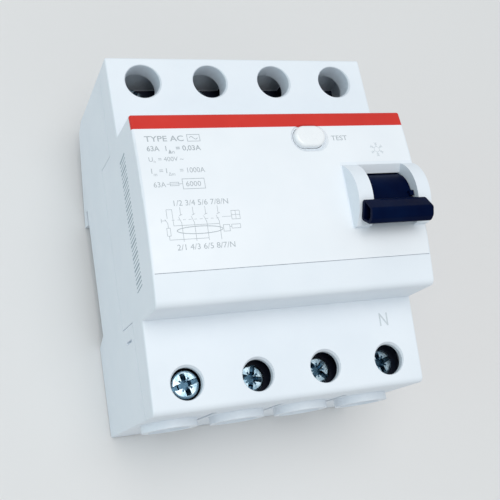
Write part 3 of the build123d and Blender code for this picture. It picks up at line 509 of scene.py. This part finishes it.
def other_marks():
    """Word beside the button, cold mark beside it and the neutral letter on the shoulder."""
    text("legend_test", "TEST", 14.1, 14.8, 1.35, weight=0.05, width=4.3)
    bm = bmesh.new()
    for k in range(3):
        a = math.pi * k / 3 + math.pi / 6
        c, d = math.cos(a), math.sin(a)
        for sign in (-1, 1):
            inner = (25.8 + sign * 0.75 * c, 12.1 + sign * 0.75 * d)
            add_ribbon(bm, [inner, (25.8 + sign * 1.85 * c, 12.1 + sign * 1.85 * d)], 0.13, on_nose)
            for at, size in ((1.05, 0.45), (1.45, 0.55)):
                x, y = 25.8 + sign * at * c, 12.1 + sign * at * d
                for turn in (-0.8, 0.8):
                    dx, dy = sign * size * math.cos(a + turn), sign * size * math.sin(a + turn)
                    add_ribbon(bm, [(x, y), (x + dx, y + dy)], 0.10, on_nose)
    add_ribbon(bm, oval_points(25.8, 12.1, 0.72, 0.72, 24), 0.11, on_nose, closed=True)
    finish_piece("legend_cold", bm, PALE_INK)
    text("legend_neutral", "N", 25.0, -29.2, 3.4, on_lower_shoulder, PALE_INK, 0.05, 2.6)


def side_marks():
    """Printed strip on the left side: one wide bar and two narrow ones in turn, which encode nothing."""
    bm = bmesh.new()
    for i in range(11):
        top = STRIP_TOP - 3 * STRIP_PITCH * i
        for k, width in ((0, 0.52), (1, 0.30), (2, 0.30)):
            y = top - STRIP_PITCH * k
            add_ribbon(bm, [(STRIP_Z[0], y - STRIP_SLANT), (STRIP_Z[1], y + STRIP_SLANT)], width, on_left)
    finish_piece("side_strip", bm, SIDE_INK)


def soft_spring(node, axis):
    """Stands for a CAD spring: a copy in spring steel keeps its seat in the housing, and the CAD spring is
    hidden.
    """
    low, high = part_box(node)
    middle = [(low[k] + high[k]) / 2 for k in range(3)]
    along = axis.index(1)
    seat = list(middle)
    seat[along] = low[along]
    piece = bpy.data.objects.new(node + "_coil", NODES[node].data.copy())
    bpy.context.scene.collection.objects.link(piece)
    piece.data.materials.clear()
    piece.data.materials.append(SPRING)
    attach(piece, "housing")
    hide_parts(node)
    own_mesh(piece)


soft_spring("button_spring", (0, 0, 1))
soft_spring("latch_spring_left", (0, 1, 0))
soft_spring("latch_spring_right", (0, 1, 0))
ratings()
wiring_diagram()
other_marks()
side_marks()


# ------------------------------------------------------------------ floor, light and camera
def floor_material():
    g = Graph("floor_paper")
    where = g.coord.outputs["Object"]
    soft = g.noise(where, 3.0, 2.0)
    tone = g.mix(g.ramp(soft, 0.0, 1.0, 0.3, 0.7), (0.74, 0.73, 0.725), (0.77, 0.76, 0.755))
    g.link(tone, g.bsdf.inputs["Base Color"])
    g.value("Roughness", 0.9)
    g.link(g.bump(g.noise(where, 900.0, 2.0), 0.00005, 0.2), g.bsdf.inputs["Normal"])
    return g.mat


def floor():
    mesh = bpy.data.meshes.new("floor")
    bm = bmesh.new()
    bmesh.ops.create_grid(bm, x_segments=8, y_segments=8, size=3.0)
    bm.to_mesh(mesh)
    bm.free()
    obj = bpy.data.objects.new("floor", mesh)
    obj.location = (0, 0, cad_low[2] - 0.0003)
    mesh.materials.append(floor_material())
    bpy.context.collection.objects.link(obj)


def area_light(name, at, aim, size, power, colour=(1, 1, 1)):
    data = bpy.data.lights.new(name, "AREA")
    data.shape = "RECTANGLE"
    data.size, data.size_y = size
    data.energy = power
    data.color = colour
    obj = bpy.data.objects.new(name, data)
    obj.location = at
    direction = Vector(aim) - Vector(at)
    obj.rotation_euler = direction.to_track_quat("-Z", "Y").to_euler()
    bpy.context.collection.objects.link(obj)
    return obj


CAMERA_AT = Vector((-90.2, -61.5, 244.1)) * MM
CAMERA_AIM = Vector((-5.7, -7.3, 40.0)) * MM
CAMERA_UP = Vector((0.063, 0.958, 0.281))
CAMERA_LENS = 67.6


def camera():
    data = bpy.data.cameras.new("camera")
    data.lens = CAMERA_LENS
    data.sensor_width = 36.0
    data.clip_start = 0.01
    data.clip_end = 20.0
    obj = bpy.data.objects.new("camera", data)
    back = (CAMERA_AT - CAMERA_AIM).normalized()
    right = CAMERA_UP.cross(back).normalized()
    up = back.cross(right)
    turn = Matrix((right, up, back)).transposed().to_4x4()
    obj.matrix_world = Matrix.Translation(CAMERA_AT) @ turn
    bpy.context.collection.objects.link(obj)
    bpy.context.scene.camera = obj


def studio():
    world = bpy.data.worlds.new("studio")
    bpy.context.scene.world = world
    world.use_nodes = True
    sky = world.node_tree.nodes["Background"]
    sky.inputs[0].default_value = (0.89, 0.96, 1.0, 1.0)
    sky.inputs[1].default_value = 0.575
    area_light("key", (-0.10, 0.08, 1.10), (0, 0, 0.03), (0.7, 0.7), 5.7, (1.0, 0.975, 0.955))
    area_light("front_fill", (0.15, -0.95, 0.90), (0, 0, 0.03), (0.9, 0.5), 0.4, (0.97, 0.98, 1.0))
    area_light("left_fill", (-0.95, 0.05, 0.45), (0, 0, 0.03), (0.6, 0.5), 0.85, (0.40, 0.86, 1.0))


floor()
studio()
camera()
bpy.context.scene.view_settings.view_transform = "Standard"
bpy.context.scene.view_settings.look = "None"
